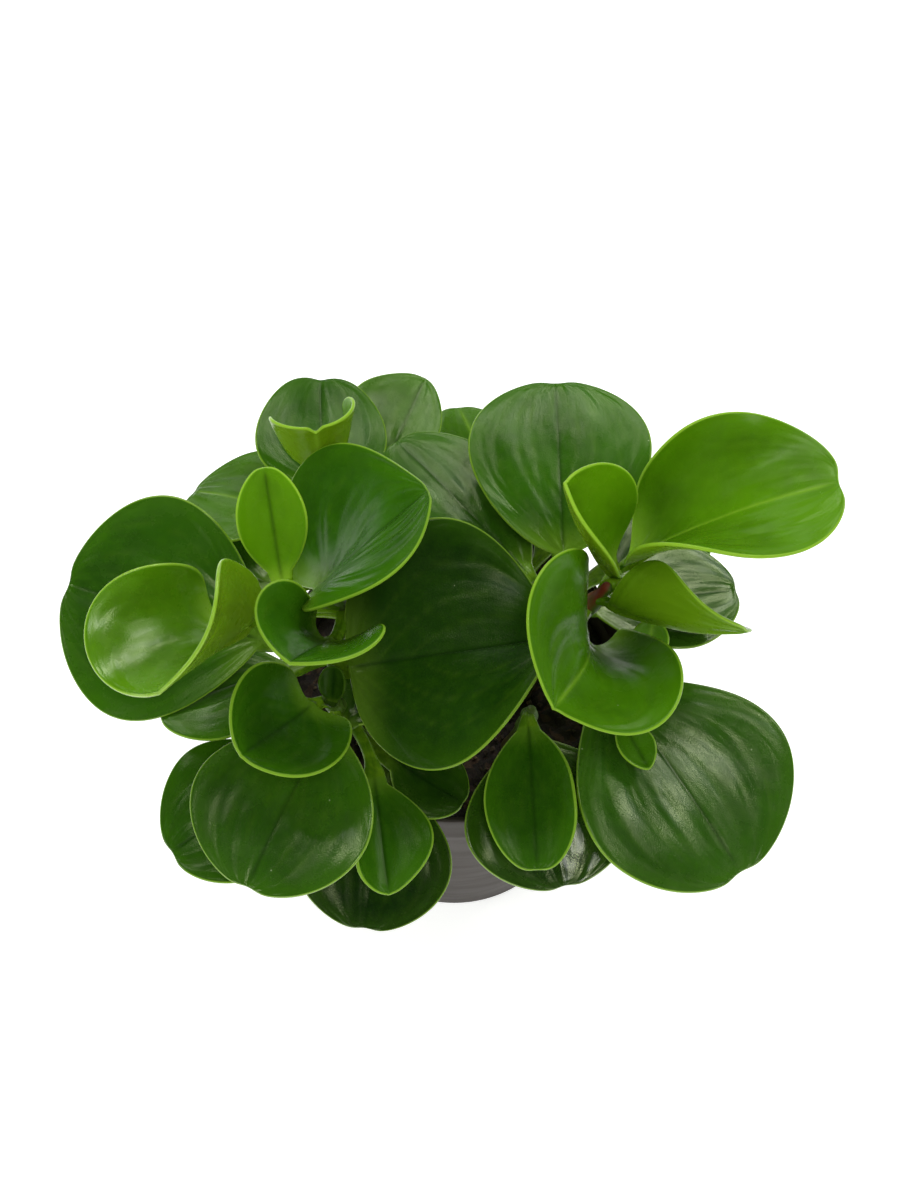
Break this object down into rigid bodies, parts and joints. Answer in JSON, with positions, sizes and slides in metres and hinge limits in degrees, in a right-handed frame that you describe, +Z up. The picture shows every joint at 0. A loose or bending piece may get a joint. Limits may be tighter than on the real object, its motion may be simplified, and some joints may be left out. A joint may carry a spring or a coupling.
{
  "type": "potted peperomia",
  "caption": "Bushy peperomia with thick, cupped, glossy leaves on short stems, growing in a round tapered nursery pot filled with soil.",
  "frame": {"origin": "centre of the pot's flat underside, on the surface that the pot stands on", "axes": "+Z up along the pot's axis, -Y towards the front of the plant, +X to its right"},
  "size_m": [0.2268, 0.1904, 0.1888],
  "materials": {
    "pot": "satin taupe plastic",
    "soil": "rough, dark, moist potting mix",
    "leaves": "thick, waxy, glossy green leaf"
  },
  "bodies": {
    "root": {"pot": "pot", "soil": "soil", "shoot_a": "leaves", "shoot_b": "leaves", "shoot_c": "leaves", "shoot_d": "leaves", "shoot_e": "leaves", "shoot_f": "leaves"}
  },
  "joints": []
}
